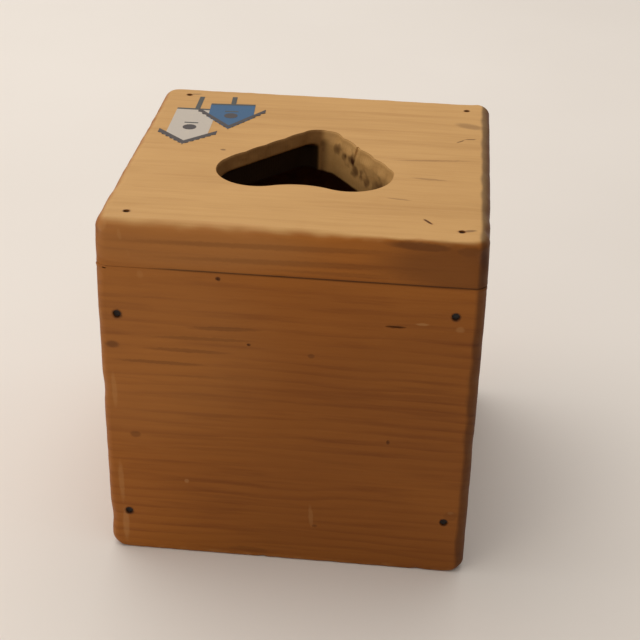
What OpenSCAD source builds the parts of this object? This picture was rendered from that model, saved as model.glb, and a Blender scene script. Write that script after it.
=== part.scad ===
// Posting box: a nailed cube of planed pine with a heart-shaped opening in its lid.
// The box lifts off a loose base board, and one heart block is posted through the opening.
// +Z is up, the front faces -Y, and the origin is the middle of the footprint at table level.

/* [Box] */
// Width across the front
box_w = 150; // [140:1:180]
// Depth from front to back
box_d = 148; // [140:1:180]
// Height from the table to the top of the lid
box_h = 154; // [140:1:180]
// Thickness of the planed boards
board_t = 19; // [18:0.5:21]

/* [Edges] */
// Rounding of the lid's top edges and front corners
lid_edge_r = 5; // [2:0.5:7]
// Rounding of the lid's back corners
lid_corner_r = 7; // [5:0.5:9]
// Rounding of the upright outer edges of the front and back boards
wall_edge_r = 4; // [1:0.5:6]
// Rounding of the foot corners of the front and back boards
foot_corner_r = 5; // [1:0.5:8]

/* [Heart opening] */
// Radius of each lobe
lobe_r = 17; // [14:0.5:18]
// Distance of each lobe's centre from the heart's middle line
lobe_offset = 18.8; // [18:0.1:20]
// Distance of the lobes' centres in front of the lid's middle
lobe_forward = 17; // [14:0.5:20]
// Radius of the hollow between the lobes
notch_r = 30; // [24:1:40]
// Radius of the blunt tip
tip_r = 9.3; // [6:0.1:11]
// Distance of the tip's centre behind the lid's middle
tip_back = 19.5; // [16:0.5:24]
// Sideways drift of the hand-cut tip
tip_drift = 2; // [-3:0.5:3]

/* [Nails] */
// Shank diameter
nail_d = 1.8; // [1.6:0.1:2]
// Head diameter
nail_head_d = 2.8; // [2.4:0.1:3.2]
// Length, head included
nail_length = 28; // [25:1:28]
// Depth of the head under the wood's surface
nail_set = 0.8; // [0.4:0.1:1.2]

/* [Loose pieces] */
// Gap between the base board and the walls
base_gap = 0.75; // [0.4:0.05:1.5]
// Gap between the heart block and the opening
block_gap = 1.5; // [1:0.1:2.5]

/* [Stickers] */
// Thickness of the sticker film
film_t = 0.2; // [0.1:0.05:0.4]

/* [Hidden] */
$fn = 64;

wall_h = box_h - board_t;
inner_w = box_w - 2 * board_t;
inner_d = box_d - 2 * board_t;

// The wood grips a nail with this much play in its pilot hole.
pilot_play = 0.02;
pocket_play = 0.25;
nail_head_t = 1;
nail_point_t = 3;
nail_point_d = 0.4;
nail_tail_gap = 0.5;
cut = 1;

// Places of the hand-driven nails: lid nails are [x, y], and wall nails are [x, height].
lid_nail_places = [[-63.5, -64.5], [64, -64.5], [-62.5, 63], [64.5, 62]];
front_nail_places = [[-67, 114], [64, 122.5], [-66.5, 19], [65.5, 25.5]];
back_nail_places = [[-66, 119], [66, 116], [-66, 22], [66.5, 21]];

// The heart's middle line lies a little left of the lid's.
heart_drift = -0.5;
left_lobe = [heart_drift - lobe_offset, -lobe_forward];
right_lobe = [heart_drift + lobe_offset, -lobe_forward];
tip = [tip_drift, tip_back];
notch_centre = [heart_drift, -lobe_forward - sqrt(pow(lobe_r + notch_r, 2) - pow(lobe_offset, 2))];

// Printed birdhouses: thickness of the roof, width of the post, and each ridge's place and turn.
roof_t = 3;
post_w = 2.2;
pale_ridge = [-55, 3.6];
pale_turn = 1;
blue_ridge = [-38.5, 23.3];
blue_turn = 4;

pine = "BurlyWood";
dark_pine = "Peru";

function direction(angle) = [cos(angle), sin(angle)];

function angle_to(from, to) = atan2(to[1] - from[1], to[0] - from[0]);

// Angle of the touching points of a line laid against two circles, on the side given by +1 or -1.
function touch_angle(from, from_r, to, to_r, side) =
    angle_to(from, to) + side * acos((from_r - to_r) / norm(to - from));

// Points on an arc about `centre`, from one angle to another.
function arc(centre, r, from, to, steps = 24) =
    [for (i = [0:steps]) centre + r * direction(from + (to - from) * i / steps)];

// Outline of the heart, drawn smaller by `inset` all round: left lobe, tip, right lobe, notch.
module heart(inset = 0) {
    lobe = lobe_r - inset;
    point = tip_r - inset;
    left_angle = touch_angle(left_lobe, lobe, tip, point, 1);
    right_angle = touch_angle(right_lobe, lobe, tip, point, -1);
    left_notch = angle_to(left_lobe, notch_centre);
    right_notch = angle_to(right_lobe, notch_centre);
    polygon(concat(
        arc(left_lobe, lobe, left_notch + 360, left_angle),
        arc(tip, point, left_angle, right_angle),
        arc(right_lobe, lobe, right_angle, right_notch),
        arc(notch_centre, notch_r + inset, right_notch + 180, left_notch + 180)
    ));
}

// Rectangle from y = 0 up, with its upper corners rounded by `top_r` and its lower ones by `foot_r`.
module eased_rectangle(width, height, top_r, foot_r) {
    difference() {
        translate([-width / 2, 0]) square([width, height]);
        for (side = [-1, 1]) {
            corner_waste(side * width / 2, height, -side, -1, top_r);
            corner_waste(side * width / 2, 0, -side, 1, foot_r);
        }
    }
}

// Material outside a rounded corner at (x, y), whose inside lies towards (inward_x, inward_y).
module corner_waste(x, y, inward_x, inward_y, r) {
    if (r > 0) {
        translate([x, y]) scale_signs(inward_x, inward_y) difference() {
            translate([-cut, -cut]) square([r + cut, r + cut]);
            translate([r, r]) circle(r);
        }
    }
}

module scale_signs(sign_x, sign_y) {
    mirror([sign_x < 0 ? 1 : 0, 0]) mirror([0, sign_y < 0 ? 1 : 0]) children();
}

// Nail pointing down -Z, with its head's top `nail_set` under the surface at z = 0.
module nail() {
    translate([0, 0, -nail_set - nail_head_t]) cylinder(d = nail_head_d, h = nail_head_t);
    translate([0, 0, -nail_set - nail_length + nail_point_t])
        cylinder(d = nail_d, h = nail_length - nail_point_t - nail_head_t);
    translate([0, 0, -nail_set - nail_length])
        cylinder(d1 = nail_point_d, d2 = nail_d, h = nail_point_t);
}

// Pilot hole and head pocket of one nail.
module nail_hole() {
    depth = nail_set + nail_length + nail_tail_gap;
    translate([0, 0, -depth]) cylinder(d = nail_d + 2 * pilot_play, h = depth + cut);
    translate([0, 0, -nail_set - nail_head_t - pilot_play])
        cylinder(d = nail_head_d + 2 * pocket_play, h = nail_set + nail_head_t + cut);
}

module at_lid_nails() {
    for (place = lid_nail_places) {
        translate([place[0], place[1], box_h]) children();
    }
}

module at_front_nails() {
    for (place = front_nail_places) {
        translate([place[0], -box_d / 2, place[1]]) rotate([90, 0, 0]) children();
    }
}

module at_back_nails() {
    for (place = back_nail_places) {
        translate([place[0], box_d / 2, place[1]]) rotate([-90, 0, 0]) children();
    }
}

module lid_blank() {
    intersection() {
        linear_extrude(board_t) translate([0, -box_d / 2])
            eased_rectangle(box_w, box_d, lid_corner_r, lid_edge_r);
        rotate([90, 0, 0]) linear_extrude(box_d + 2 * cut, center = true)
            eased_rectangle(box_w, board_t, lid_edge_r, 0);
        rotate([90, 0, 90]) linear_extrude(box_w + 2 * cut, center = true)
            eased_rectangle(box_d, board_t, lid_edge_r, 0);
    }
}

module lid() {
    color(pine) difference() {
        translate([0, 0, wall_h]) lid_blank();
        translate([0, 0, wall_h - cut]) linear_extrude(board_t + 2 * cut) heart();
        at_lid_nails() nail_hole();
    }
}

// Full-width board, standing as the front one, with its outer face at y = -box_d / 2.
module outer_board() {
    intersection() {
        linear_extrude(wall_h) translate([0, -box_d / 2 + board_t]) mirror([0, 1])
            eased_rectangle(box_w, board_t, wall_edge_r, 0);
        rotate([90, 0, 0]) linear_extrude(box_d)
            eased_rectangle(box_w, wall_h, 0, foot_corner_r);
    }
}

module front_board() {
    color(dark_pine) difference() {
        outer_board();
        at_lid_nails() nail_hole();
        at_front_nails() nail_hole();
    }
}

module back_board() {
    color(dark_pine) difference() {
        rotate(180) outer_board();
        at_lid_nails() nail_hole();
        at_back_nails() nail_hole();
    }
}

// Side board between the front and back boards; side is -1 for the left and +1 for the right.
module side_board(side) {
    color(dark_pine) difference() {
        translate([side * (box_w - board_t) / 2, 0, wall_h / 2])
            cube([board_t, inner_d, wall_h], center = true);
        at_front_nails() nail_hole();
        at_back_nails() nail_hole();
    }
}

module lid_nails() { color("DimGray") at_lid_nails() nail(); }
module front_nails() { color("DimGray") at_front_nails() nail(); }
module back_nails() { color("DimGray") at_back_nails() nail(); }

// Plain gabled birdhouse on a post, with the ridge of its roof at the origin and pointing to -Y.
module birdhouse(width, wall, rise, eave, post) {
    half = width / 2;
    eave_x = half + eave;
    eave_y = rise * eave_x / half;
    foot = rise + wall;
    right_half = [
        [eave_x, eave_y], [eave_x, eave_y + roof_t], [half, rise + roof_t],
        [half, foot], [post_w / 2, foot], [post_w / 2, foot + post]
    ];
    left_half = [for (i = [len(right_half) - 1:-1:0]) [-right_half[i][0], right_half[i][1]]];
    polygon(concat([[0, 0]], right_half, left_half));
}

module blue_outline() {
    translate(blue_ridge) rotate(blue_turn)
        birdhouse(width = 20, wall = 17, rise = 13.5, eave = 5, post = 9);
}

// The pale sticker is trimmed where the blue one crosses it.
module sticker_pale_birdhouse() {
    color("Gainsboro") translate([0, 0, box_h]) linear_extrude(film_t) difference() {
        translate(pale_ridge) rotate(pale_turn)
            birdhouse(width = 18, wall = 33.5, rise = 9, eave = 3.6, post = 15);
        blue_outline();
    }
}

module sticker_blue_birdhouse() {
    color("SteelBlue") translate([0, 0, box_h]) linear_extrude(film_t) blue_outline();
}

module base_board() {
    color(pine) translate([0, 0, board_t / 2])
        cube([inner_w - 2 * base_gap, inner_d - 2 * base_gap, board_t], center = true);
}

// The piece sawn out of the lid, lying on the base board under the opening.
module heart_block() {
    color(pine) translate([0, 0, board_t]) linear_extrude(board_t) heart(block_gap);
}

lid();
front_board();
back_board();
side_board(-1);  // left_board
side_board(1);  // right_board
lid_nails();
front_nails();
back_nails();
sticker_pale_birdhouse();
sticker_blue_birdhouse();
base_board();
heart_block();
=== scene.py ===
"""Looks of the nailed pine posting box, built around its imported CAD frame.

Metres in Blender, millimetres in the shape code. +Z is up and the front faces -Y.
"""

import math
import random

import bmesh
import bpy
import numpy as np
from mathutils import Matrix, Vector, noise


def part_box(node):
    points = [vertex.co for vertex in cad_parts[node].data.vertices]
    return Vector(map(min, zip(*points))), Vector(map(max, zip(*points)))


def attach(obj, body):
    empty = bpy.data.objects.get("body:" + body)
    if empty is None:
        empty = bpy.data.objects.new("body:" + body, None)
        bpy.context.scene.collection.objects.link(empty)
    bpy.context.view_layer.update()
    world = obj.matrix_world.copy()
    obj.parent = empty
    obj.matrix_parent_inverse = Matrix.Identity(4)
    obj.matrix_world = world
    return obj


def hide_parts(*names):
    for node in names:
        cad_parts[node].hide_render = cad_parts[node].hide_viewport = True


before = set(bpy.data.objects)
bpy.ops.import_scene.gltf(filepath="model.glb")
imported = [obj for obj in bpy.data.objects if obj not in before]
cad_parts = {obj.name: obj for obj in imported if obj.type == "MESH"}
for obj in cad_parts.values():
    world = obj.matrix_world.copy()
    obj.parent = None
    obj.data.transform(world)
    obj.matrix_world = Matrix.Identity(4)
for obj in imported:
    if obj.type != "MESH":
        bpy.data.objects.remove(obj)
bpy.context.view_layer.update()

MM = 0.001

# ---- sizes, from the frame, in mm


def node_box(node):
    low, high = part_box(node)
    return np.array(low) / MM, np.array(high) / MM


lid_low, lid_high = node_box("lid")
front_low, front_high = node_box("front_board")
base_low, base_high = node_box("base_board")
block_low, block_high = node_box("heart_block")

BOARD_T = lid_high[2] - lid_low[2]
HALF_W = lid_high[0]
HALF_D = lid_high[1]
TOP_Z = lid_high[2]
SEAM_Z = lid_low[2]
INNER_HALF_D = node_box("left_board")[1][1]

# The heart opening, as in the CAD source.
LOBE_R = 17
LEFT_LOBE = np.array([-19.3, -17.0])
RIGHT_LOBE = np.array([18.3, -17.0])
TIP_R = 9.3
TIP = np.array([2.0, 19.5])
NOTCH_R = 30
HEART_MIDDLE = np.array([0.0, -6.0])
BLOCK_GAP = 1.5

# Rings across a panel's face, and across its sides and its inner face.
FACE_RINGS = 40
SIDE_RINGS = 14

# Punched nail pockets.
LID_POCKET_R = 1.15
WALL_POCKET_R = 1.5
POCKET_DEPTH = 2.1

# Nails, as in the CAD source: lid (x, y), front (x, z) and back (x, z).
LID_NAILS = [(-63.5, -64.5), (64, -64.5), (-62.5, 63), (64.5, 62)]
FRONT_NAILS = [(-67, 114), (64, 122.5), (-66.5, 19), (65.5, 25.5)]
BACK_NAILS = [(-66, 119), (66, 116), (-66, 22), (66.5, 21)]

# ---- outlines, in mm


def arc(centre, radius, start, end, steps=28):
    """Points on an arc, with angles in degrees."""
    angles = np.radians(np.linspace(start, end, steps))
    return np.array(centre) + radius * np.stack([np.cos(angles), np.sin(angles)], axis=1)


def angle_to(start, end):
    delta = np.array(end) - np.array(start)
    return math.degrees(math.atan2(delta[1], delta[0]))


def touch_angle(start, start_r, end, end_r, side):
    """Angle where a line laid against two circles touches them."""
    distance = np.linalg.norm(np.array(end) - np.array(start))
    return angle_to(start, end) + side * math.degrees(math.acos((start_r - end_r) / distance))


def notch_centre():
    half_gap = (RIGHT_LOBE[0] - LEFT_LOBE[0]) / 2
    drop = math.sqrt((LOBE_R + NOTCH_R) ** 2 - half_gap**2)
    return np.array([(RIGHT_LOBE[0] + LEFT_LOBE[0]) / 2, LEFT_LOBE[1] - drop])


def heart_outline(inset=0.0):
    lobe, point, notch = LOBE_R - inset, TIP_R - inset, notch_centre()
    left = touch_angle(LEFT_LOBE, lobe, TIP, point, 1)
    right = touch_angle(RIGHT_LOBE, lobe, TIP, point, -1)
    left_notch = angle_to(LEFT_LOBE, notch)
    right_notch = angle_to(RIGHT_LOBE, notch)
    return np.concatenate([
        arc(LEFT_LOBE, lobe, left_notch + 360, left, 60),
        arc(TIP, point, left, right),
        arc(RIGHT_LOBE, lobe, right, right_notch, 60),
        arc(notch, NOTCH_R + inset, right_notch + 180, left_notch + 180),
    ])


def rounded_rectangle(low, high, upper_r, lower_r):
    """Rectangle from corner `low` to corner `high`, with its own radius for the upper and lower corners."""
    corners = [
        ((high[0], high[1]), upper_r, 0),
        ((low[0], high[1]), upper_r, 90),
        ((low[0], low[1]), lower_r, 180),
        ((high[0], low[1]), lower_r, 270),
    ]
    parts = []
    for (x, y), radius, start in corners:
        centre = (x - math.copysign(radius, x - (low[0] + high[0]) / 2),
                  y - math.copysign(radius, y - (low[1] + high[1]) / 2))
        parts.append(arc(centre, radius, start, start + 90, 12))
    return np.concatenate(parts)


def evenly_spaced(outline, count):
    """The same closed outline, as `count` points an equal way apart."""
    closed = np.concatenate([outline, outline[:1]])
    lengths = np.linalg.norm(np.diff(closed, axis=0), axis=1)
    along = np.concatenate([[0], np.cumsum(lengths)])
    places = np.linspace(0, along[-1], count, endpoint=False)
    return np.stack([np.interp(places, along, closed[:, i]) for i in (0, 1)], axis=1), places


def on_rays(outline, centre, towards):
    """Where the rays from `centre` through the points `towards` cross a star-shaped outline."""
    outline, _ = evenly_spaced(outline, 1600)
    polar = outline - centre
    angles = np.arctan2(polar[:, 1], polar[:, 0])
    order = np.argsort(angles)
    rays = towards - centre
    ray_angles = np.arctan2(rays[:, 1], rays[:, 0])
    reach = np.interp(ray_angles, angles[order], np.linalg.norm(polar, axis=1)[order], period=2 * math.pi)
    return centre + reach[:, None] * np.stack([np.cos(ray_angles), np.sin(ray_angles)], axis=1)


def inward_normals(ring, centre):
    along = np.roll(ring, -1, axis=0) - np.roll(ring, 1, axis=0)
    normals = np.stack([-along[:, 1], along[:, 0]], axis=1)
    normals /= np.linalg.norm(normals, axis=1)[:, None]
    facing = np.sign(np.sum(normals * (centre - ring), axis=1))
    return normals * facing[:, None]


# ---- noise


def soft_noise(points, size, seed=0.0):
    """Smooth noise from -1 to 1 at each point, with features about `size` mm across."""
    points = np.atleast_2d(points)
    if points.shape[1] == 2:
        points = np.column_stack([points, np.zeros(len(points))])
    return np.array([noise.noise(Vector(p)) for p in points / size + seed])


def smoothstep(low, high, value):
    t = np.clip((value - low) / (high - low), 0, 1)
    return t * t * (3 - 2 * t)


# ---- panels


def closer_at_ends(count):
    """Steps from 0 to 1 that lie closer together near both ends."""
    return (1 - np.cos(np.linspace(0, math.pi, count))) / 2


def face_rings(inner, outer, height, count):
    return [with_height(inner + (outer - inner) * t, height) for t in closer_at_ends(count)]


def with_height(ring, height):
    return np.column_stack([ring, np.broadcast_to(height, len(ring))])


def rounding_rings(ring, inward, radius, top, squareness, count=9):
    """Rings down a worn rounded edge; `squareness` 2 is a quarter circle and 1 a flat bevel."""
    rings = []
    for turn in np.linspace(0, math.pi / 2, count)[1:]:
        inset = radius * (1 - math.sin(turn) ** (2 / squareness))
        drop = radius * (1 - math.cos(turn) ** (2 / squareness))
        rings.append(with_height(ring + inward * inset[:, None], top - drop))
    return rings


def panel_rings(outline, centre, thickness, count, top_radius, low_bevel, squareness=1.7, hole=None):
    """Rings of a board: its outer face, worn edge, sides and inner face, and the wall of a hole.

    The board lies in the first two axes and its outer face is at height `thickness`.
    top_radius and low_bevel are functions of the points on the outline.
    """
    ring, _ = evenly_spaced(outline, count)
    inward = inward_normals(ring, centre)
    radius = np.maximum(top_radius(ring), 0.15)
    bevel = np.maximum(low_bevel(ring), 0.05)
    if hole is None:
        wall = [with_height(centre + (ring - centre) * 0.02, h) for h in (0, thickness)]
    else:
        wall = hole(ring)
    face_edge = ring + inward * radius[:, None]
    foot_edge = ring + inward * bevel[:, None]
    rings = face_rings(wall[-1][:, :2], face_edge, thickness, FACE_RINGS)
    rings += rounding_rings(ring, inward, radius, thickness, squareness)
    side_top, side_low = thickness - radius, bevel
    rings += [with_height(ring, side_top + (side_low - side_top) * t) for t in closer_at_ends(SIDE_RINGS)[1:]]
    rings += [with_height(foot_edge, 0)]
    rings += face_rings(foot_edge, wall[0][:, :2], 0, SIDE_RINGS)[1:-1]
    rings += wall[:-1] if hole is not None else wall[:1]
    return rings


def ring_mesh(name, rings, to_row, closed):
    """A mesh through the rings; `closed` joins the last ring to the first, else the ends are capped."""
    count = len(rings[0])
    points = np.concatenate(rings) @ to_row[:3, :3].T + to_row[:3, 3]
    spans = len(rings) if closed else len(rings) - 1
    faces = []
    for i in range(spans):
        here, there = i * count, ((i + 1) % len(rings)) * count
        for j in range(count):
            k = (j + 1) % count
            faces.append((here + j, here + k, there + k, there + j))
    if not closed:
        faces.append(tuple(reversed(range(count))))
        faces.append(tuple(range((len(rings) - 1) * count, len(rings) * count)))
    return mesh_object(name, points, faces)


def mesh_object(name, points, faces):
    """A new object from points in mm, with its faces turned outwards."""
    mesh = bpy.data.meshes.new(name)
    mesh.from_pydata([tuple(p) for p in np.asarray(points) * MM], [], faces)
    made = bmesh.new()
    made.from_mesh(mesh)
    bmesh.ops.recalc_face_normals(made, faces=made.faces)
    made.to_mesh(mesh)
    made.free()
    piece = bpy.data.objects.new(name, mesh)
    bpy.context.scene.collection.objects.link(piece)
    return piece


def axes(u, v, w, origin):
    """Turns a panel's own axes and origin into the row frame."""
    matrix = np.eye(4)
    matrix[:3, :3] = np.array([u, v, w], float).T
    matrix[:3, 3] = origin
    return matrix


# ---- wear and cuts


def read_points(piece):
    points = np.zeros(len(piece.data.vertices) * 3)
    piece.data.vertices.foreach_get("co", points)
    return points.reshape(-1, 3) / MM


def read_normals(piece):
    normals = np.zeros(len(piece.data.vertices) * 3)
    piece.data.vertex_normals.foreach_get("vector", normals)
    return normals.reshape(-1, 3)


def edge_distance(points, low, high):
    """How far each surface point is from the nearest edge of its board's box."""
    gaps = np.concatenate([points - low, high - points], axis=1)
    return np.sort(np.abs(gaps), axis=1)[:, 1]


def wear_down(piece, low, high, dents, seed, hollows=0.12, keep=None):
    """Presses the surface in by a fraction of a millimetre: planing hollows, nicks along edges and dents.

    dents holds (x, y, z, radius, depth). keep(points) is 0 where the surface stays as it is.
    """
    points, normals = read_points(piece), read_normals(piece)
    near_edge = 1 - smoothstep(1.5, 6, edge_distance(points, low, high))
    press = hollows * (0.5 + 0.5 * soft_noise(points, 34, seed))
    press += near_edge * 0.32 * np.clip(soft_noise(points, 7, seed + 5) - 0.12, 0, 1)
    press += near_edge * 0.15 * np.clip(soft_noise(points, 2.8, seed + 9) - 0.2, 0, 1)
    for x, y, z, radius, depth in dents:
        reach = np.linalg.norm(points - (x, y, z), axis=1) / radius
        press += depth * np.exp(-reach**2)
    if keep is not None:
        press *= keep(points)
    points = points - normals * press[:, None]
    piece.data.vertices.foreach_set("co", (points * MM).ravel())
    piece.data.update()


def off_the_seam(points):
    """Near 0 along the joint between the lid and the walls, which stays a straight fine line."""
    return 0.1 + 0.9 * smoothstep(0.3, 2.5, np.abs(points[:, 2] - SEAM_Z))


def edge_nicks(low, high, count, seed):
    """Seeded dents spread along the twelve edges of a box, as wear_down takes them."""
    draw = random.Random(seed)
    nicks = []
    for _ in range(count):
        along = draw.randrange(3)
        place = [draw.choice((low[i], high[i])) for i in range(3)]
        place[along] = draw.uniform(low[along], high[along])
        nicks.append((*place, draw.uniform(1.2, 3.4), draw.uniform(0.15, 0.5)))
    return nicks


def pocket(place, outward, radius, depth, seed):
    """Cutter for a nail's punched pocket: an uneven hole that narrows a little with depth."""
    draw = random.Random(seed)
    sides = 20
    wobble = [draw.uniform(0.88, 1.12) for _ in range(sides)]
    outward = Vector(outward)
    turn = outward.to_track_quat("Z", "Y").to_matrix()
    points, faces = [], []
    levels = [(0.8, 1.15), (0, 1.1), (-0.35, 1.0), (-depth, 0.93)]
    for height, width in levels:
        for i in range(sides):
            angle = 2 * math.pi * i / sides
            reach = radius * width * (wobble[i] * 0.5 + wobble[i - 1] * 0.5)
            point = turn @ Vector((reach * math.cos(angle), reach * math.sin(angle), height))
            points.append(Vector(place) + point)
    for level in range(len(levels) - 1):
        for i in range(sides):
            k = (i + 1) % sides
            a, b = level * sides, (level + 1) * sides
            faces.append((a + i, a + k, b + k, b + i))
    faces.append(tuple(range(sides)))
    faces.append(tuple(reversed(range(3 * sides, 4 * sides))))
    return points, faces


def sliver(place, half_sizes, turn_axis, turn):
    """Cutter for a split, pin hole or gouge: a stretched ball."""
    made = bmesh.new()
    bmesh.ops.create_icosphere(made, subdivisions=2, radius=1)
    rotation = Matrix.Rotation(math.radians(turn), 3, turn_axis)
    stretch = Vector(half_sizes)
    points = [Vector(place) + rotation @ Vector(c * s for c, s in zip(v.co, stretch)) for v in made.verts]
    faces = [tuple(v.index for v in face.verts) for face in made.faces]
    made.free()
    return points, faces


def cut(piece, cutters):
    """Takes all the cutters out of the piece."""
    points, faces = [], []
    for cutter_points, cutter_faces in cutters:
        faces += [tuple(i + len(points) for i in face) for face in cutter_faces]
        points += cutter_points
    tool = mesh_object("cutter", points, faces)
    modifier = piece.modifiers.new("cut", "BOOLEAN")
    modifier.operation = "DIFFERENCE"
    modifier.solver = "EXACT"
    modifier.use_self = False
    modifier.object = tool
    bpy.context.view_layer.update()
    evaluated = piece.evaluated_get(bpy.context.evaluated_depsgraph_get())
    mesh = bpy.data.meshes.new_from_object(evaluated)
    piece.modifiers.clear()
    piece.data = mesh
    bpy.data.objects.remove(tool)


def smooth(piece, angle=38):
    piece.data.shade_smooth()
    piece.data.set_sharp_from_angle(angle=math.radians(angle))


def write_attribute(piece, name, values):
    attribute = piece.data.attributes.new(name, "FLOAT", "POINT")
    attribute.data.foreach_set("value", np.asarray(values, np.float32))


# ---- the boards


def lid_edge_radius(ring):
    """The lid's rounding is full at the left of the front edge and sharper at its right."""
    sharp = smoothstep(5, 40, ring[:, 0]) * smoothstep(-60, -73, ring[:, 1])
    right = smoothstep(60, 73, ring[:, 0])
    full = 4.6 - 2.9 * sharp * (1 - right) - 1.2 * right
    return full * (1 + 0.14 * soft_noise(ring, 18, 3) + 0.08 * soft_noise(ring, 6, 8))


def seam_bevel(ring):
    """The seam is a fine open groove, and filled with varnish near the left of the front."""
    filled = 1 - smoothstep(-60, -42, ring[:, 0])
    return 0.28 * (1 - 0.8 * filled)


# The opening's wall: depth of the undercut behind the left lobe, of the slope and the knife facets behind the
# right one, and the most that the wall may stand in from the outline. The heart block passes with BLOCK_GAP.
UNDERCUT = 6.0
WALL_SLOPE = 1.15
KNIFE_FACET = 0.9
MOST_INWARD = 1.1


def heart_wall(ring):
    """Rings down the sawn wall of the opening, from the inner face to the outer face.

    The rim keeps the heart's outline. Behind the right lobe the wall slopes in with depth, in broad
    knife facets; behind the left lobe it is undercut.
    """
    rim = on_rays(heart_outline(), HEART_MIDDLE, ring)
    out = -inward_normals(rim, HEART_MIDDLE)
    along = np.concatenate([[0], np.cumsum(np.linalg.norm(np.diff(rim, axis=0), axis=1))])
    back_left = smoothstep(1.5, -3, rim[:, 0]) * smoothstep(-14, -4, rim[:, 1])
    back_right = smoothstep(1.5, 6, rim[:, 0]) * smoothstep(-22, -10, rim[:, 1])
    saw = 0.08 * np.abs(np.sin(along * math.pi / 1.4)) + 0.12 * soft_noise(rim, 6, 21)
    scallop = np.abs(np.sin(along * math.pi / 11.0)) - 0.5
    rings = []
    near_rim = [0.8, 0.5, 0.25, 0.1, 0]
    depths = np.concatenate([np.linspace(BOARD_T, 8, 14), np.linspace(7.4, 1.2, 14), near_rim])
    for depth in depths:
        undercut = UNDERCUT * smoothstep(6.0, 9.5, depth) * back_left
        slope = WALL_SLOPE * smoothstep(0, 6.0, depth) * back_right
        knife = KNIFE_FACET * scallop * (back_right + 0.6 * back_left) * smoothstep(6.5, 2.0, depth)
        rounding = 0.35 * smoothstep(0.8, 0, depth)
        shift = saw * smoothstep(0, 1, depth) + undercut + knife + rounding - slope
        shift = np.maximum(shift, -MOST_INWARD)
        rings.append(with_height(rim + out * shift[:, None], BOARD_T - depth))
    return rings


def make_lid():
    outline = rounded_rectangle((-HALF_W, -HALF_D), (HALF_W, HALF_D), 7, 5)
    rings = panel_rings(outline, HEART_MIDDLE, BOARD_T, 520, lid_edge_radius, seam_bevel, hole=heart_wall)
    to_row = axes((1, 0, 0), (0, 1, 0), (0, 0, 1), (0, 0, SEAM_Z))
    piece = ring_mesh("lid_board", rings, to_row, closed=True)
    dents = edge_nicks(lid_low, lid_high, 34, 11) + [
        (HALF_W, -HALF_D, TOP_Z - 4, 5.5, 1.3),
        (HALF_W - 3, -HALF_D + 1, TOP_Z - 9, 3.2, 0.7),
        (HALF_W, -HALF_D + 14, TOP_Z - 2, 4, 0.8),
        (HALF_W, -HALF_D + 30, TOP_Z - 1, 5, 0.5),
        (-HALF_W, -HALF_D, TOP_Z - 3, 4.5, 0.9),
        (-HALF_W + 4, -HALF_D, TOP_Z - 18, 2.2, 0.6),
        (-HALF_W, 30, TOP_Z, 4, 0.6),
        (62, -HALF_D, TOP_Z - 1, 4, 0.6),
    ]
    wear_down(piece, lid_low, lid_high, dents, 2.0,
              keep=lambda points: away_from_stickers(points) * off_the_seam(points))
    pockets = [pocket((x, y, TOP_Z), (0, 0, 1), LID_POCKET_R, POCKET_DEPTH, 31 + i)
               for i, (x, y) in enumerate(LID_NAILS)]
    cut(piece, pockets + [
        sliver((51, -57.6, TOP_Z + 0.1), (2.9, 0.5, 0.6), "Z", -52),
        sliver((62.1, 24.7, TOP_Z + 0.15), (2.4, 0.28, 0.35), "Z", 52),
        sliver((66.4, 27.8, TOP_Z + 0.15), (3.0, 0.28, 0.35), "Z", 8),
    ])
    return piece


def away_from_stickers(points):
    """0 on the lid's face under the stickers, and 1 elsewhere."""
    under = (smoothstep(-74, -71, points[:, 0]) * smoothstep(-17, -20, points[:, 0])
             * smoothstep(-1, 2, points[:, 1]) * smoothstep(67, 65, points[:, 1])
             * smoothstep(TOP_Z - 0.8, TOP_Z - 0.5, points[:, 2]))
    return 1 - under


def section_ring(half_width, outer_r, inner_r, squareness=1.8):
    """Section of a plank from its inner face at 0 to its outer face at BOARD_T, outer corners worn."""
    turns = np.linspace(0, math.pi / 2, 12)
    round_x, round_y = np.cos(turns) ** (2 / squareness), np.sin(turns) ** (2 / squareness)
    right = np.stack([half_width - outer_r * (1 - round_x), BOARD_T - outer_r * (1 - round_y)], axis=1)
    face_x = np.linspace(half_width - outer_r, outer_r - half_width, 150)[1:-1]
    face = np.stack([face_x, np.full(len(face_x), BOARD_T)], axis=1)
    left = right[::-1] * (-1, 1)
    side_y = np.linspace(BOARD_T - outer_r, inner_r, 12)[1:-1]
    left_side = np.stack([np.full(len(side_y), -half_width), side_y], axis=1)
    inner_x = np.linspace(inner_r - half_width, half_width - inner_r, 50)
    inner = np.stack([inner_x, np.zeros(len(inner_x))], axis=1)
    corners = np.array([[-half_width, inner_r]]), np.array([[half_width, inner_r]])
    right_side = left_side[::-1] * (-1, 1)
    return np.concatenate([right, face, left, left_side, corners[0], inner, corners[1], right_side])


def plank(name, length, half_width_at, radius_at, end_ease, inner_r, to_row, steps=120):
    """A plank as sections stacked along its length; both ends are eased by `end_ease`."""
    places = length * closer_at_ends(steps)
    rings = []
    for place in places:
        from_end = min(place, length - place)
        ease = end_ease * (1 - smoothstep(0, 2 * end_ease, from_end))
        ring = section_ring(half_width_at(place), radius_at(place), inner_r)
        middle = np.array([0, BOARD_T / 2])
        shrink = 1 - ease / np.array([half_width_at(place), BOARD_T / 2])
        rings.append(with_height(middle + (ring - middle) * shrink, place))
    return ring_mesh(name, rings, to_row, closed=False)


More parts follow.
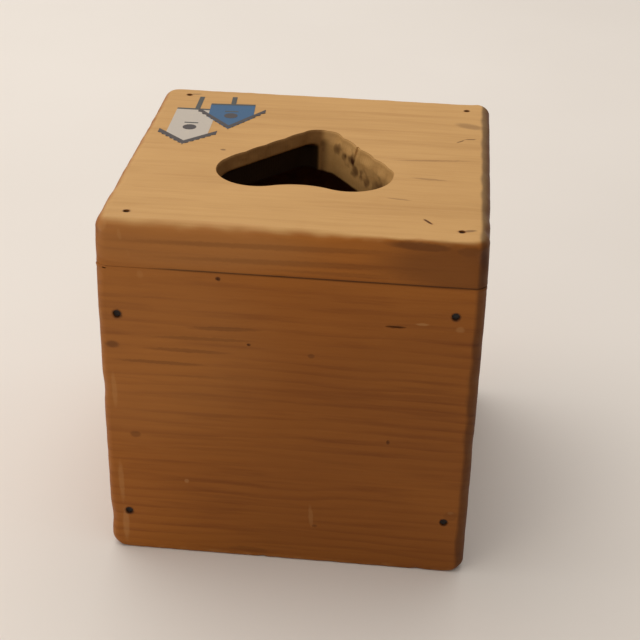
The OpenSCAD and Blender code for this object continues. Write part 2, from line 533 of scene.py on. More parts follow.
def outer_board(name, height, seed, facing):
    """The front or the back board; `facing` is -1 for the front and 1 for the back."""
    foot_r = 5

    def half_width(z):
        below = max(0.0, foot_r - z)
        return HALF_W - (foot_r - math.sqrt(foot_r**2 - below**2))

    def edge_radius(z):
        wander = soft_noise([(z, 0.0)], 24, seed)[0] * 0.7 + soft_noise([(z, 0.0)], 7, seed + 4)[0] * 0.35
        return 3.4 + wander

    to_row = axes((1, 0, 0), (0, facing, 0), (0, 0, 1), (0, facing * (HALF_D - BOARD_T), 0))
    return plank(name, height, half_width, edge_radius, 0.35, 0.2, to_row, steps=150)


def make_front():
    piece = outer_board("front_plank", SEAM_Z, 6, -1)
    dents = edge_nicks(front_low, front_high, 30, 5) + [
        (HALF_W, -HALF_D, 62, 5, 0.7),
        (-HALF_W, -HALF_D, 78, 5, 0.6),
        (-HALF_W, -HALF_D, 14, 5, 0.8),
        (-58, -HALF_D, 131, 2.4, 0.3),
    ]
    wear_down(piece, front_low, front_high, dents, 4.0, keep=off_the_seam)
    face = -HALF_D
    pockets = [pocket((x, face, z), (0, -1, 0), WALL_POCKET_R, POCKET_DEPTH, 51 + i)
               for i, (x, z) in enumerate(FRONT_NAILS)]
    cut(piece, pockets + [
        sliver((41.5, face, 116.6), (4.2, 0.7, 0.42), "Y", 1),
        sliver((-26.9, face, 132.3), (0.7, 0.5, 0.6), "Y", 0),
        sliver((-15.3, face, 104.1), (0.55, 0.4, 0.5), "Y", 0),
        sliver((40.9, face, 63.2), (0.55, 0.4, 0.8), "Y", 0),
        sliver((12.2, face, 18.6), (1.0, 0.35, 0.55), "Y", 10),
        sliver((-71.0, face + 0.6, 134.0), (1.3, 0.8, 0.4), "Y", 12),
    ])
    return piece


def make_back():
    low, high = node_box("back_board")
    piece = outer_board("back_plank", SEAM_Z, 17, 1)
    wear_down(piece, low, high, edge_nicks(low, high, 30, 9), 7.0, keep=off_the_seam)
    cut(piece, [pocket((x, HALF_D, z), (0, 1, 0), WALL_POCKET_R, POCKET_DEPTH, 71 + i)
                for i, (x, z) in enumerate(BACK_NAILS)])
    return piece


def make_side(name, node, side):
    low, high = node_box(node)
    inner_x = low[0] if side > 0 else high[0]
    to_row = axes((0, 1, 0), (side, 0, 0), (0, 0, 1), (inner_x, 0, 0))
    piece = plank(name, SEAM_Z, lambda z: INNER_HALF_D, lambda z: 0.3, 0.2, 0.2, to_row)
    wear_down(piece, low, high, edge_nicks(low, high, 14, 23 + side), 9.0 + side, keep=off_the_seam)
    return piece


def make_base():
    to_row = axes((0, 1, 0), (0, 0, 1), (1, 0, 0), (base_low[0], 0, base_low[2]))
    piece = plank("base_plank", base_high[0] - base_low[0], lambda x: base_high[1],
                  lambda x: 0.7 + 0.2 * soft_noise([(x, 0.0)], 8, 1)[0], 0.5, 0.4, to_row)
    wear_down(piece, base_low, base_high, edge_nicks(base_low, base_high, 16, 31), 13.0, hollows=0.05)
    return piece


def make_block():
    outline = heart_outline(BLOCK_GAP)
    rings = panel_rings(
        outline, HEART_MIDDLE, BOARD_T, 360,
        lambda ring: 1.3 + 0.25 * soft_noise(ring, 7, 2), lambda ring: 1.0 + 0.2 * soft_noise(ring, 7, 12))
    to_row = axes((1, 0, 0), (0, 1, 0), (0, 0, 1), block_low * (0, 0, 1))
    piece = ring_mesh("heart_slug", rings, to_row, closed=False)
    wear_down(piece, block_low, block_high, [], 15.0)
    return piece


# ---- stickers


def film(name, outline, place, turn, low, high):
    """A flat piece of printed film from height `low` to `high` over the lid, in mm."""
    angle = math.radians(turn)
    rotation = np.array([[math.cos(angle), -math.sin(angle)], [math.sin(angle), math.cos(angle)]])
    flat = np.array(outline) @ rotation.T + place
    count = len(flat)
    points = [(x, y, TOP_Z + high) for x, y in flat] + [(x, y, TOP_Z + low) for x, y in flat]
    faces = [tuple(range(count)), tuple(reversed(range(count, 2 * count)))]
    faces += [(i, (i + 1) % count, (i + 1) % count + count, i + count) for i in range(count)]
    return mesh_object(name, points, faces)


def ellipse(x, y, half_width, half_height, steps=28):
    angles = np.linspace(0, 2 * math.pi, steps, endpoint=False)
    return np.stack([x + half_width * np.cos(angles), y + half_height * np.sin(angles)], axis=1)


def shingled_roof(half, rise, eave, thickness, teeth):
    """Gable strip with its ridge at the origin, and shingle ends stepped along its outer edge."""
    eave_x = half + eave
    slope = rise / half
    inner = [(-eave_x, slope * eave_x + thickness), (0, thickness), (eave_x, slope * eave_x + thickness)]
    outer = []
    for i in range(teeth):
        x = eave_x * (1 - i / teeth)
        next_x = eave_x * (1 - (i + 1) / teeth)
        outer += [(x, slope * x), (next_x + 0.35, slope * x - 0.75)]
    left = [(-x, y) for x, y in reversed(outer)]
    return inner + outer + [(0, -0.2)] + left


def bar(half, low, high):
    """A straight board, post or perch, from `low` to `high` along the house."""
    return [(-half, low), (half, low), (half, high), (-half, high)]


def house_wall(half, rise, foot):
    return [(0, 0.6), (half, rise + 0.6), (half, foot), (-half, foot), (-half, rise + 0.6)]


# Ridge of each printed house, as in the CAD source, and the levels of its layers over the lid.
PALE_PLACE, PALE_TURN = (-55, 3.6), 1
BLUE_PLACE, BLUE_TURN = (-38.5, 23.3), 4
PALE_LEVELS = (-0.05, 0.08, 0.12)
BLUE_LEVELS = (-0.05, 0.15, 0.19)
ROOF_T = 4.4
EAVES_T = 1.6
POST_HALF = 1.1
ENTRANCE_R = 3.0
PERCH_GAP = 4.6
PERCH_T = 1.1


def birdhouse(name, half, rise, foot, eave, post, hole, teeth, ink):
    """Pieces of a plain printed birdhouse, each (name, outline, layer, ink).

    It has one round entrance at `hole` below the ridge, with a perch beyond it.
    """
    return [
        (name + "_wall", house_wall(half, rise, foot), 1, ink),
        (name + "_roof", shingled_roof(half, rise, eave, ROOF_T, teeth), 2, "roof"),
        (name + "_eaves", bar(half, foot - EAVES_T, foot), 2, "grey"),
        (name + "_post", bar(POST_HALF, foot, foot + post), 1, "grey"),
        (name + "_entrance", ellipse(0, hole, ENTRANCE_R, ENTRANCE_R), 2, "roof"),
        (name + "_perch", bar(ENTRANCE_R, hole + PERCH_GAP, hole + PERCH_GAP + PERCH_T), 2, "grey"),
    ]


# ---- materials


class Shader:
    """Builds one node material around a Principled shader."""

    def __init__(self, name):
        self.material = bpy.data.materials.new(name)
        self.material.use_nodes = True
        self.tree = self.material.node_tree
        self.surface = self.tree.nodes["Principled BSDF"]

    def node(self, kind, **settings):
        made = self.tree.nodes.new("ShaderNode" + kind)
        for key, value in settings.items():
            setattr(made, key, value)
        return made

    def feed(self, socket, value):
        if isinstance(value, bpy.types.NodeSocket):
            self.tree.links.new(value, socket)
        else:
            socket.default_value = value

    def math(self, operation, a, b=0.0, clamp=False):
        made = self.node("Math", operation=operation, use_clamp=clamp)
        self.feed(made.inputs[0], a)
        self.feed(made.inputs[1], b)
        return made.outputs[0]

    def times(self, a, b):
        return self.math("MULTIPLY", a, b)

    def plus(self, a, b):
        return self.math("ADD", a, b)

    def mix(self, share, a, b):
        made = self.node("Mix", data_type="RGBA")
        self.feed(made.inputs[0], share)
        self.feed(made.inputs[6], a)
        self.feed(made.inputs[7], b)
        return made.outputs[2]

    def spread(self, value, low, high, to_low=0.0, to_high=1.0):
        """Stretches low..high to to_low..to_high, and holds it there."""
        made = self.node("MapRange", interpolation_type="SMOOTHSTEP")
        self.feed(made.inputs["Value"], value)
        for key, number in (("From Min", low), ("From Max", high), ("To Min", to_low), ("To Max", to_high)):
            made.inputs[key].default_value = number
        return made.outputs[0]

    def place(self):
        return self.node("TexCoord").outputs["Object"]

    def stretched(self, vector, scale):
        made = self.node("Mapping")
        self.feed(made.inputs["Vector"], vector)
        made.inputs["Scale"].default_value = scale
        return made.outputs[0]

    def noise(self, vector, scale=(1, 1, 1), detail=3.0, roughness=0.5):
        made = self.node("TexNoise")
        self.feed(made.inputs["Vector"], self.stretched(vector, scale))
        made.inputs["Scale"].default_value = 1.0
        made.inputs["Detail"].default_value = detail
        made.inputs["Roughness"].default_value = roughness
        return made.outputs["Fac"]

    def attribute(self, name):
        return self.node("Attribute", attribute_name=name).outputs["Fac"]

    def spot(self, vector, place, radii, turn=(0, 0, 0)):
        """1 at a place, in mm, falling to 0 at its radii."""
        frame_node = self.node("Mapping", vector_type="TEXTURE")
        self.feed(frame_node.inputs["Vector"], vector)
        frame_node.inputs["Location"].default_value = [c * MM for c in place]
        frame_node.inputs["Rotation"].default_value = [math.radians(a) for a in turn]
        frame_node.inputs["Scale"].default_value = [r * MM for r in radii]
        ball = self.node("TexGradient", gradient_type="SPHERICAL")
        self.feed(ball.inputs["Vector"], frame_node.outputs[0])
        return ball.outputs["Fac"]

    def spots(self, vector, marks):
        """The strongest of several spots, each (strength, place, radii, turn)."""
        total = 0.0
        for strength, place, radii, turn in marks:
            ball = self.spread(self.spot(vector, place, radii, turn), 0, 0.55)
            ball = self.times(ball, strength)
            total = ball if total == 0.0 else self.math("MAXIMUM", total, ball)
        return total

    def bump(self, height, strength, distance):
        made = self.node("Bump")
        made.inputs["Strength"].default_value = strength
        made.inputs["Distance"].default_value = distance
        self.feed(made.inputs["Height"], height)
        self.feed(self.surface.inputs["Normal"], made.outputs[0])


def colour(red, green, blue):
    return (red, green, blue, 1.0)


def wobbled(shader, vector, amount=0.0005):
    """The same places, pushed about a little, so that marks have uneven borders."""
    made = shader.node("TexNoise")
    shader.feed(made.inputs["Vector"], vector)
    made.inputs["Scale"].default_value = 420
    made.inputs["Detail"].default_value = 3
    centred = shader.node("VectorMath", operation="SUBTRACT")
    shader.feed(centred.inputs[0], made.outputs["Color"])
    centred.inputs[1].default_value = (0.5, 0.5, 0.5)
    scaled = shader.node("VectorMath", operation="SCALE")
    shader.feed(scaled.inputs[0], centred.outputs[0])
    scaled.inputs["Scale"].default_value = amount * 2
    added = shader.node("VectorMath", operation="ADD")
    shader.feed(added.inputs[0], vector)
    shader.feed(added.inputs[1], scaled.outputs[0])
    return added.outputs[0]


def pine(name, tones, pith, ring_width, along="x", ring_share=0.3, stroke_share=0.4,
         dark_marks=(), light_marks=(), rough=0.5):
    """Planed pine as a solid texture: growth rings round a pith line, fibres, strokes, wear, marks, painted
    highlights and painted shade.

    tones holds the early and late wood of the top and of the sides, lighter on the top partly by sun-fading
    and partly as painted light, and the colours of wear and painted highlights and of grime and painted
    shade.
    pith is where the rings' centre line crosses the other two axes, in mm.
    """
    shader = Shader(name)
    place = shader.place()
    split = shader.node("SeparateXYZ")
    shader.feed(split.inputs[0], place)
    across = {"x": (1, 2), "y": (0, 2)}[along]
    long_scale = {"x": lambda l, s: (l, s, s), "y": lambda l, s: (s, l, s)}[along]

    warp = shader.math("SUBTRACT", shader.noise(place, long_scale(7, 22), 2.0), 0.5)
    warp = shader.times(warp, 0.012)
    fine_warp = shader.math("SUBTRACT", shader.noise(place, long_scale(22, 90), 2.0), 0.5)
    fine_warp = shader.times(fine_warp, 0.0022)
    first = shader.math("SUBTRACT", split.outputs[across[0]], pith[0] * MM)
    second = shader.math("SUBTRACT", split.outputs[across[1]], pith[1] * MM)
    first_square = shader.times(first, first)
    squares = shader.plus(first_square, shader.times(second, second))
    radius = shader.plus(shader.math("SQRT", squares), shader.plus(warp, fine_warp))
    turn = shader.math("FRACT", shader.math("DIVIDE", radius, ring_width * MM))
    late = shader.times(shader.spread(turn, 0.35, 0.88), shader.spread(turn, 1.0, 0.9))
    ring_strength = shader.spread(shader.noise(place, long_scale(9, 60), 2.0), 0.35, 0.7, 0.25, 1.0)
    late = shader.times(late, ring_strength)

    fibre = shader.noise(place, long_scale(38, 900), 4.0, 0.6)
    strokes = shader.spread(shader.noise(place, long_scale(19, 300), 3.0, 0.55), 0.50, 0.70)
    blotch = shader.spread(shader.noise(place, long_scale(16, 34), 3.0), 0.3, 0.7)

    share = shader.times(late, ring_share)
    share = shader.plus(share, shader.times(strokes, stroke_share))
    share = shader.plus(share, shader.times(blotch, 0.25))
    fibre_share = shader.times(shader.math("SUBTRACT", fibre, 0.5), 0.5)
    share = shader.math("ADD", share, fibre_share, clamp=True)

    # Top and side tones mixed by facing: partly a sun-faded top, partly painted light and painted shade.
    up = shader.attribute("up")
    early = shader.mix(up, tones["side_early"], tones["early"])
    dark = shader.mix(up, tones["side_late"], tones["late"])
    wood = shader.mix(share, early, dark)

    loose = wobbled(shader, place)
    wear_noise = shader.noise(place, (110, 110, 110), 5.0, 0.6)
    edge = shader.attribute("edge")
    wear_and_highlight = shader.spread(shader.times(edge, wear_noise), 0.40, 0.70, 0.0, 0.4)
    # Grime, burns and painted shade, blotched by noise.
    dirt_and_shade_noise = shader.noise(place, (60, 60, 75), 5.0, 0.65)
    dirt_and_shade = shader.spread(dirt_and_shade_noise, 0.3, 0.6, 0.6, 1.0)
    dirt_and_shade = shader.times(shader.attribute("grime_and_shade"), dirt_and_shade)
    wood = shader.mix(wear_and_highlight, wood, tones["wear_and_highlight"])
    wood = shader.mix(dirt_and_shade, wood, tones["grime_and_shade"])
    # Painted shade, nearly black: the right side, the open seam and the undercut in the opening.
    wood = shader.mix(shader.attribute("painted_shade"), wood, SHADE_BLACK)
    # Light marks, some of them painted highlights.
    if light_marks:
        wood = shader.mix(shader.spots(loose, light_marks), wood, tones["wear_and_highlight"])
    # Dark marks, some of them painted shade.
    if dark_marks:
        wood = shader.mix(shader.spots(loose, dark_marks), wood, tones["grime_and_shade"])
    shader.feed(shader.surface.inputs["Base Color"], wood)
    shader.surface.inputs["Specular IOR Level"].default_value = 0.2

    polish = shader.plus(shader.times(fibre, 0.16), rough - 0.08)
    polish = shader.plus(polish, shader.times(wear_and_highlight, 0.2))
    polish = shader.plus(polish, shader.times(dirt_and_shade, 0.15))
    shader.feed(shader.surface.inputs["Roughness"], polish)
    relief = shader.plus(shader.times(fibre, 0.6), shader.times(late, -0.35))
    relief = shader.plus(relief, shader.times(strokes, -0.3))
    shader.bump(relief, 0.35, 0.00025)
    return shader.material


# The top tones are lighter than the side tones, partly a sun-faded top and partly painted light on the top
# and painted shade on the sides.
VARNISHED = {
    "early": colour(0.57, 0.325, 0.115),
    "late": colour(0.41, 0.21, 0.062),
    "side_early": colour(0.355, 0.117, 0.014),
    "side_late": colour(0.215, 0.058, 0.005),
    "wear_and_highlight": colour(0.48, 0.23, 0.075),
    "grime_and_shade": colour(0.055, 0.014, 0.002),
}
# Near-black colour of painted shade.
SHADE_BLACK = colour(0.004, 0.002, 0.001)
BARE = {
    "early": colour(0.66, 0.45, 0.25),
    "late": colour(0.45, 0.26, 0.11),
    "side_early": colour(0.62, 0.41, 0.22),
    "side_late": colour(0.40, 0.22, 0.09),
    "wear_and_highlight": colour(0.72, 0.54, 0.34),
    "grime_and_shade": colour(0.13, 0.07, 0.035),
}


def flat_mark(strength, x, y, half_x, half_y, turn=0):
    """A mark on the lid's face."""
    return (strength, (x, y, TOP_Z), (half_x, half_y, 3), (0, 0, turn))


def front_mark(strength, x, z, half_x, half_z, turn=0):
    """A mark on the front face of the front board or of the lid's edge."""
    return (strength, (x, -HALF_D, z), (half_x, 4, half_z), (0, -turn, 0))


LID_DARK = [flat_mark(0.7, x, y, 2.0, 1.9) for x, y in LID_NAILS] + [
    flat_mark(0.5, -59.5, 64.2, 3.2, 1.0, 12),
    flat_mark(0.55, 67, -63.4, 3.4, 1.2, 18),
    flat_mark(0.6, -36.7, 0.6, 1.6, 1.0),
    flat_mark(0.75, 51, -57.6, 3.4, 0.9, -52),
    flat_mark(0.6, 62.3, 24.9, 3.0, 0.7, 52),
    flat_mark(0.6, 66.4, 27.8, 3.4, 0.7, 12),
    flat_mark(0.35, 66, 43, 8, 4, -20),
    flat_mark(0.3, 52, 2, 20, 1.0, 7),
    flat_mark(0.3, 50, -17.5, 9, 1.2, -4),
    flat_mark(0.35, 39, -38.6, 6, 0.8, -8),
    front_mark(0.6, 50, 151.2, 17, 2.6, -2),
    front_mark(0.55, 67, 150, 8, 3.2),
    front_mark(0.22, 0, 147.2, 90, 1.5, 1),
    front_mark(0.24, 20, 141.2, 90, 1.6, 1),
    front_mark(0.2, 40, 137.6, 60, 1.2),
    front_mark(0.46, 72, 143, 50, 15),
    (0.9, (HALF_W, -HALF_D, 147), (5.5, 5.5, 9), (0, 0, 0)),
]
LID_LIGHT = [
    # Painted highlight along the rounding of the lid's front edge, on its left.
    front_mark(0.3, -45, 146, 70, 16),
    front_mark(0.45, -64.4, 148.4, 1.2, 4.0, 8),
    front_mark(0.35, -61.4, 141, 1.0, 3.4, 14),
    (0.55, (-HALF_W + 3, -HALF_D + 1, TOP_Z - 2), (4, 4, 5), (0, 0, 0)),
    # Painted highlight on the top of the front rounding, on its left.
    flat_mark(0.35, -30, -70.5, 34, 2.0, 0),
]
FRONT_DARK = [front_mark(0.9, x, z, 2.7, 2.7) for x, z in FRONT_NAILS] + [
    # Painted shade: the front darker towards the right and the bottom.
    front_mark(0.28, 60, 30, 150, 130),
    front_mark(0.34, -24, 110.5, 19, 1.3, 2),
    front_mark(0.3, -32, 105.4, 28, 1.2, 1),
    front_mark(0.3, -38, 99.5, 24, 1.2),
    front_mark(0.34, -50, 93.3, 24, 1.1),
    front_mark(0.26, -10, 88.2, 52, 1.2, 1),
    front_mark(0.24, 8, 79.5, 46, 1.3),
    front_mark(0.5, -69.5, 100.3, 3.6, 2.2),
    front_mark(0.8, -26.9, 132.3, 1.3, 1.2),
    front_mark(0.7, -15.3, 104.1, 1.1, 1.0),
    front_mark(0.4, -62.1, 58.2, 3.0, 2.2),
    front_mark(0.65, 40.9, 63.2, 1.1, 1.6),
    front_mark(0.5, 12.1, 18.6, 1.9, 1.1),
    front_mark(0.6, 41.5, 116.6, 5.5, 0.9, 1),
    front_mark(0.4, -16, 3.5, 13, 2.2),
    front_mark(0.3, 22, 51, 22, 2.4, -3),
    front_mark(0.5, 9.2, 101.0, 2.0, 1.4),
    front_mark(0.4, 68, 29.0, 5, 4.0, 20),
]
FRONT_LIGHT = [
    front_mark(0.6, 51.5, 118.4, 3.2, 0.8),
    front_mark(0.5, -41.5, 36.6, 1.3, 1.3),
    front_mark(0.3, -57.2, 132, 2.2, 2.6),
    front_mark(0.4, -69.8, 79, 1.6, 12, 1),
    front_mark(0.34, -69.1, 34, 1.4, 13, 1),
    front_mark(0.4, -68.2, 12, 1.8, 11),
    # Painted light: the front lighter towards the upper left.
    front_mark(0.16, -60, 100, 70, 60),
    front_mark(0.35, 10.4, 23.5, 1.2, 7, 4),
    front_mark(0.4, 66, 117.2, 2.2, 1.6),
    front_mark(0.4, 68, 30.5, 1.6, 1.0),
]


def dark_steel():
    shader = Shader("nail_steel")
    place = shader.place()
    rust = shader.spread(shader.noise(place, (900, 900, 900), 4.0), 0.4, 0.65)
    steel = shader.mix(rust, colour(0.010, 0.008, 0.007), colour(0.022, 0.009, 0.004))
    shader.feed(shader.surface.inputs["Base Color"], steel)
    shader.surface.inputs["Metallic"].default_value = 0.3
    roughness = shader.plus(shader.times(rust, 0.3), 0.5)
    shader.feed(shader.surface.inputs["Roughness"], roughness)
    shader.bump(rust, 0.4, 0.0001)
    return shader.material


def printed_film(name, tone, worn_tone):
    """Printed sticker film: even ink, rubbed lighter in small patches, with a satin face."""
    shader = Shader(name)
    place = shader.place()
    rubbed = shader.spread(shader.noise(place, (260, 260, 260), 5.0, 0.65), 0.5, 0.72, 0.0, 0.6)
    mottle = shader.noise(place, (1400, 1400, 1400), 2.0)
    ink = shader.mix(rubbed, tone, worn_tone)
    ink = shader.mix(shader.times(mottle, 0.25), ink, worn_tone)
    shader.feed(shader.surface.inputs["Base Color"], ink)
    roughness = shader.plus(shader.times(rubbed, 0.3), 0.45)
    shader.feed(shader.surface.inputs["Roughness"], roughness)
    shader.surface.inputs["Specular IOR Level"].default_value = 0.3
    shader.bump(mottle, 0.2, 0.00005)
    return shader.material


def cloth_floor():
    shader = Shader("floor_pale")
    place = shader.place()
    soft = shader.noise(place, (5, 5, 5), 2.0)
    cloth = shader.mix(soft, colour(0.775, 0.735, 0.70), colour(0.83, 0.795, 0.765))
    shader.feed(shader.surface.inputs["Base Color"], cloth)
    shader.surface.inputs["Roughness"].default_value = 0.9
    shader.bump(shader.noise(place, (1500, 1500, 1500), 2.0), 0.15, 0.0002)
    return shader.material


# ---- attributes that the wood reads

# The right side is darker than the front, all painted shade: an even shade, the shade that the lid adds to
# it, and a little blotchy shade along its edge.
RIGHT_SHADE = 0.46
LID_SHADE = 0.12
RIGHT_EDGE_SHADE = 0.2

# Scorch marks on the opening's wall behind the right lobe: x, y, depth and size.
BURNS = [
    (9.5, 23, 6.5, 2.4), (13.5, 19, 8.0, 2.2), (17, 15, 7.2, 3.0), (19, 12, 10.5, 3.2),
    (23, 8, 9.0, 2.6), (25, 4, 12, 2.8), (31, -5, 12, 5.0),
]
BURN_STRENGTH = 0.78

# Painted shade on the inner faces, for the dark inside of the box.
HIDDEN_SHADE = 0.85


def nowhere(points, normals):
    return np.zeros(len(points))


def mark_surface(piece, low, high, tops, grime_and_shade, painted_shade=nowhere):
    """Writes the up, edge, grime-and-shade and painted-shade attributes on every vertex of a board.

    All three are functions of the points and normals. tops is 1 on the lighter top wood, partly sun-faded and
    partly painted light; the second gives grime, burns and painted shade, and the third painted shade alone.
    """
    points, normals = read_points(piece), read_normals(piece)
    write_attribute(piece, "up", np.clip(tops(points, normals), 0, 1))
    wear = 1 - smoothstep(0.8, 5.0, edge_distance(points, low, high))
    write_attribute(piece, "edge", wear * smoothstep(2, 7, np.abs(points[:, 2] - SEAM_Z)))
    write_attribute(piece, "grime_and_shade", np.clip(grime_and_shade(points, normals), 0, 1))
    write_attribute(piece, "painted_shade", painted_shade(points, normals))


# 1 on faces that look up, which take the lighter top tones: partly a sun-faded top and partly painted light.
def top_wood(points, normals):
    return smoothstep(0.55, 0.97, normals[:, 2] + soft_noise(points, 9, 41.0) * 0.12)


def lid_tops(points, normals):
    """The opening's sawn wall is bare and takes most of the lighter top tones; behind the right lobe it is as
    light as the top, a painted highlight where the light falls on it.
    """
    wall = (0.75 + 0.25 * behind_right_lobe(points)) * opening_wall(points, normals)
    return np.maximum(top_wood(points, normals), wall)


def behind_right_lobe(points):
    return smoothstep(1, 4, points[:, 0]) * smoothstep(-24, -12, points[:, 1])


def opening_wall(points, normals):
    x, y = points[:, 0], points[:, 1]
    return ((np.abs(x) < 48) & (y > -44) & (y < 40) & (np.abs(normals[:, 2]) < 0.75)).astype(float)


def lid_shade_and_burns(points, normals):
    """Painted shade on the opening's wall, less behind the right lobe where it grows with depth, in a strip
    at the tip and on the underside; painted shade along the right edge; and scorch marks on the wall behind
    the right lobe.
    """
    x, y, z = points.T
    depth = TOP_Z - z
    right_edge = smoothstep(70.9, 72.3, x) * RIGHT_EDGE_SHADE
    inside = opening_wall(points, normals)
    back_left = smoothstep(2, 0, x) * smoothstep(-14, -4, y)
    back_right = behind_right_lobe(points)
    wall = 0.5 * back_left
    wall += back_right * (0.05 * smoothstep(4, 7, depth) + 0.2 * smoothstep(13, 18, depth))
    wall += 0.5 * (1 - back_left) * (1 - back_right)
    tip_strip = 0.8 * np.exp(-((x - 2.5) / 2.2) ** 2) * (y > 15) * smoothstep(2.5, 6, depth)
    underside = (normals[:, 2] < -0.7) * 0.8
    burns = np.zeros(len(points))
    ragged = np.maximum(1 + 0.9 * soft_noise(points, 2.6, 52.0), 0.7)
    for burn_x, burn_y, burn_depth, size in BURNS:
        reach = np.linalg.norm(points - (burn_x, burn_y, TOP_Z - burn_depth), axis=1) / size
        burns += np.exp(-((reach * ragged) ** 4))
    burnt = BURN_STRENGTH * burns * inside
    return np.maximum.reduce([right_edge, inside * wall, inside * tip_strip, underside, burnt])


def box_painted_shade(points, normals):
    """Painted shade on the right side behind an uneven border, and in the open part of the lid's seam."""
    x, y, z = points.T
    filled = smoothstep(-42, -56, x) * smoothstep(-70, -73, y)
    seam = 0.7 * np.exp(-(((z - SEAM_Z) / 0.4) ** 2)) * (1 - filled)
    border = 71.3 + 0.9 * soft_noise(points, 9, 61.0)
    shade = RIGHT_SHADE + LID_SHADE * smoothstep(SEAM_Z - 1, SEAM_Z + 1, z)
    return np.maximum(seam, smoothstep(-0.7, 0.7, x - border) * shade)


def lid_painted_shade(points, normals):
    """Painted shade: the undercut behind the left lobe never gets light and is painted black; with the box's
    painted shade.
    """
    x, y, z = points.T
    undercut = smoothstep(1.5, 0, x) * smoothstep(-14, -8, y) * smoothstep(6.2, 8.2, TOP_Z - z)
    return np.maximum(0.92 * opening_wall(points, normals) * undercut, box_painted_shade(points, normals))


def inside_shade(points, normals):
    """Painted shade on the inner faces of the walls and on their ends; the outside stays clean but for
    painted shade along the right edge.
    """
    x, y, z = points.T
    inner_x = HALF_W - BOARD_T + 0.6
    inner_y = HALF_D - BOARD_T + 0.6
    inner = (np.abs(x) < inner_x + 0.5) & (np.abs(y) < inner_y)
    hidden = inner | (np.abs(normals[:, 2]) > 0.9)
    right_edge = smoothstep(70.4, 71.8, x) * RIGHT_EDGE_SHADE
    return np.maximum(hidden * HIDDEN_SHADE, right_edge)


def sawn_side_grime(points, normals):
    """The heart block's sawn sides are a little grimy."""
    return 0.25 * (np.abs(normals[:, 2]) < 0.4)


# Painted shade on the inner face of a side board, and along the right edge.
def side_inside_shade(points, normals):
    inner = (np.abs(points[:, 0]) < HALF_W - BOARD_T + 0.5) * HIDDEN_SHADE
    return np.maximum(inner, smoothstep(70.4, 71.8, points[:, 0]) * RIGHT_EDGE_SHADE)


# ---- assembly


def dress(piece, body, node, material):
    piece.data.materials.clear()
    piece.data.materials.append(material)
    smooth(piece)
    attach(piece, body)
    if node:
        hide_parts(node)


def build_boards():
    lid_wood = pine("pine_lid", VARNISHED, (-25, 45), 5.2, ring_share=0.24, stroke_share=0.2,
                    dark_marks=LID_DARK, light_marks=LID_LIGHT)
    front_wood = pine("pine_front", VARNISHED, (-30, 168), 4.2, ring_share=0.42, stroke_share=0.34,
                      dark_marks=FRONT_DARK, light_marks=FRONT_LIGHT)
    back_wood = pine("pine_back", VARNISHED, (20, 30), 5.4, ring_share=0.34, stroke_share=0.44)
    left_wood = pine("pine_left", VARNISHED, (-30, 60), 4.8, along="y", ring_share=0.34, stroke_share=0.44)
    right_wood = pine("pine_right", VARNISHED, (25, 95), 5.0, along="y", ring_share=0.34, stroke_share=0.44)
    base_wood = pine("pine_base", BARE, (15, -40), 5.0, rough=0.55)
    block_wood = pine("pine_block", BARE, (-25, -75), 5.2, rough=0.5)

    lid = make_lid()
    mark_surface(lid, lid_low, lid_high, lid_tops, lid_shade_and_burns, lid_painted_shade)
    dress(lid, "box", "lid", lid_wood)

    front = make_front()
    mark_surface(front, front_low, front_high, nowhere, inside_shade, box_painted_shade)
    dress(front, "box", "front_board", front_wood)

    back = make_back()
    mark_surface(back, *node_box("back_board"), nowhere, inside_shade, box_painted_shade)
    dress(back, "box", "back_board", back_wood)

    for name, node, side, wood in (("left_plank", "left_board", -1, left_wood),
                                   ("right_plank", "right_board", 1, right_wood)):
        board = make_side(name, node, side)
        mark_surface(board, *node_box(node), nowhere, side_inside_shade, box_painted_shade)
        dress(board, "box", node, wood)

    base = make_base()
    mark_surface(base, base_low, base_high, top_wood, nowhere)
    dress(base, "base", "base_board", base_wood)

    block = make_block()
    mark_surface(block, block_low, block_high, top_wood, sawn_side_grime)
    dress(block, "heart_block", "heart_block", block_wood)


def build_stickers():
    inks = {
        "pale": printed_film("film_pale", colour(0.47, 0.42, 0.37), colour(0.54, 0.48, 0.40)),
        "grey": printed_film("film_grey", colour(0.045, 0.052, 0.055), colour(0.11, 0.10, 0.08)),
        "roof": printed_film("film_roof", colour(0.040, 0.032, 0.036), colour(0.10, 0.08, 0.07)),
        "blue": printed_film("film_blue", colour(0.018, 0.085, 0.20), colour(0.05, 0.13, 0.23)),
    }
    pale = birdhouse("pale", half=9, rise=9, foot=42.5, eave=3.6, post=15, hole=20, teeth=6, ink="pale")
    blue = birdhouse("blue", half=10, rise=13.5, foot=30.5, eave=5, post=9, hole=16, teeth=7, ink="blue")
    houses = (
        (pale, PALE_PLACE, PALE_TURN, PALE_LEVELS, "sticker_pale_birdhouse", "pale_wall"),
        (blue, BLUE_PLACE, BLUE_TURN, BLUE_LEVELS, "sticker_blue_birdhouse", "blue_wall"),
    )
    for parts, place, turn, levels, node, main in houses:
        for name, outline, layer, ink in parts:
            piece = film(name, outline, place, turn, levels[0], levels[layer])
            dress(piece, "box", node if name == main else None, inks[ink])


def dress_nails():
    steel = dark_steel()
    for node in ("lid_nails", "front_nails", "back_nails"):
        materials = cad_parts[node].data.materials
        materials.clear()
        materials.append(steel)


# ---- stage, light and camera


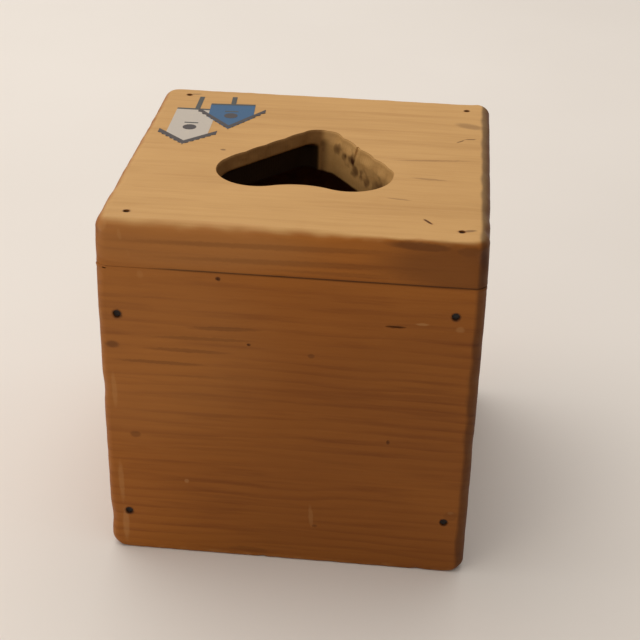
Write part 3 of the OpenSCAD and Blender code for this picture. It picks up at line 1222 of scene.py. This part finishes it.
def make_floor():
    half, lift = 2.5, -0.0002
    mesh = bpy.data.meshes.new("floor")
    mesh.from_pydata([(-half, -half, lift), (half, -half, lift), (half, half, lift), (-half, half, lift)],
                     [], [(0, 1, 2, 3)])
    floor = bpy.data.objects.new("floor", mesh)
    bpy.context.scene.collection.objects.link(floor)
    mesh.materials.append(cloth_floor())


def area_light(name, place, target, size, power, tint):
    data = bpy.data.lights.new(name, "AREA")
    data.shape = "DISK"
    data.size = size
    data.energy = power
    data.color = tint
    lamp = bpy.data.objects.new(name, data)
    lamp.location = place
    lamp.rotation_euler = (Vector(target) - Vector(place)).to_track_quat("-Z", "Y").to_euler()
    bpy.context.scene.collection.objects.link(lamp)


def light_scene():
    world = bpy.data.worlds.new("studio")
    world.use_nodes = True
    background = world.node_tree.nodes["Background"]
    background.inputs["Color"].default_value = colour(1.0, 0.94, 0.87)
    background.inputs["Strength"].default_value = 0.42
    bpy.context.scene.world = world
    area_light("key", (-0.42, 0.45, 1.36), (0, 0, 0.1), 2.2, 19, (1.0, 0.95, 0.88))
    area_light("fill", (-0.5, -0.65, 0.45), (0, 0, 0.1), 0.5, 0.9, (1.0, 0.88, 0.74))


def make_camera():
    """Stands in front of the box, 5 degrees to its right and 29 degrees above, and slightly rolled."""
    azimuth, elevation, roll = math.radians(5.108), math.radians(29.409), math.radians(1.369)
    place = (0.05387, -0.5384, 0.38026)
    data = bpy.data.cameras.new("camera")
    data.sensor_width = 36
    data.lens = 78.55
    data.clip_start, data.clip_end = 0.01, 20
    camera = bpy.data.objects.new("camera", data)
    back = Vector((math.sin(azimuth) * math.cos(elevation), -math.cos(azimuth) * math.cos(elevation),
                   math.sin(elevation)))
    level = (-back).to_track_quat("-Z", "Y").to_matrix()
    turned = level @ Matrix.Rotation(roll, 3, "Z")
    camera.matrix_world = Matrix.Translation(place) @ turned.to_4x4()
    bpy.context.scene.collection.objects.link(camera)
    bpy.context.scene.camera = camera


build_boards()
build_stickers()
dress_nails()
make_floor()
light_scene()
make_camera()
bpy.context.scene.view_settings.view_transform = "Standard"
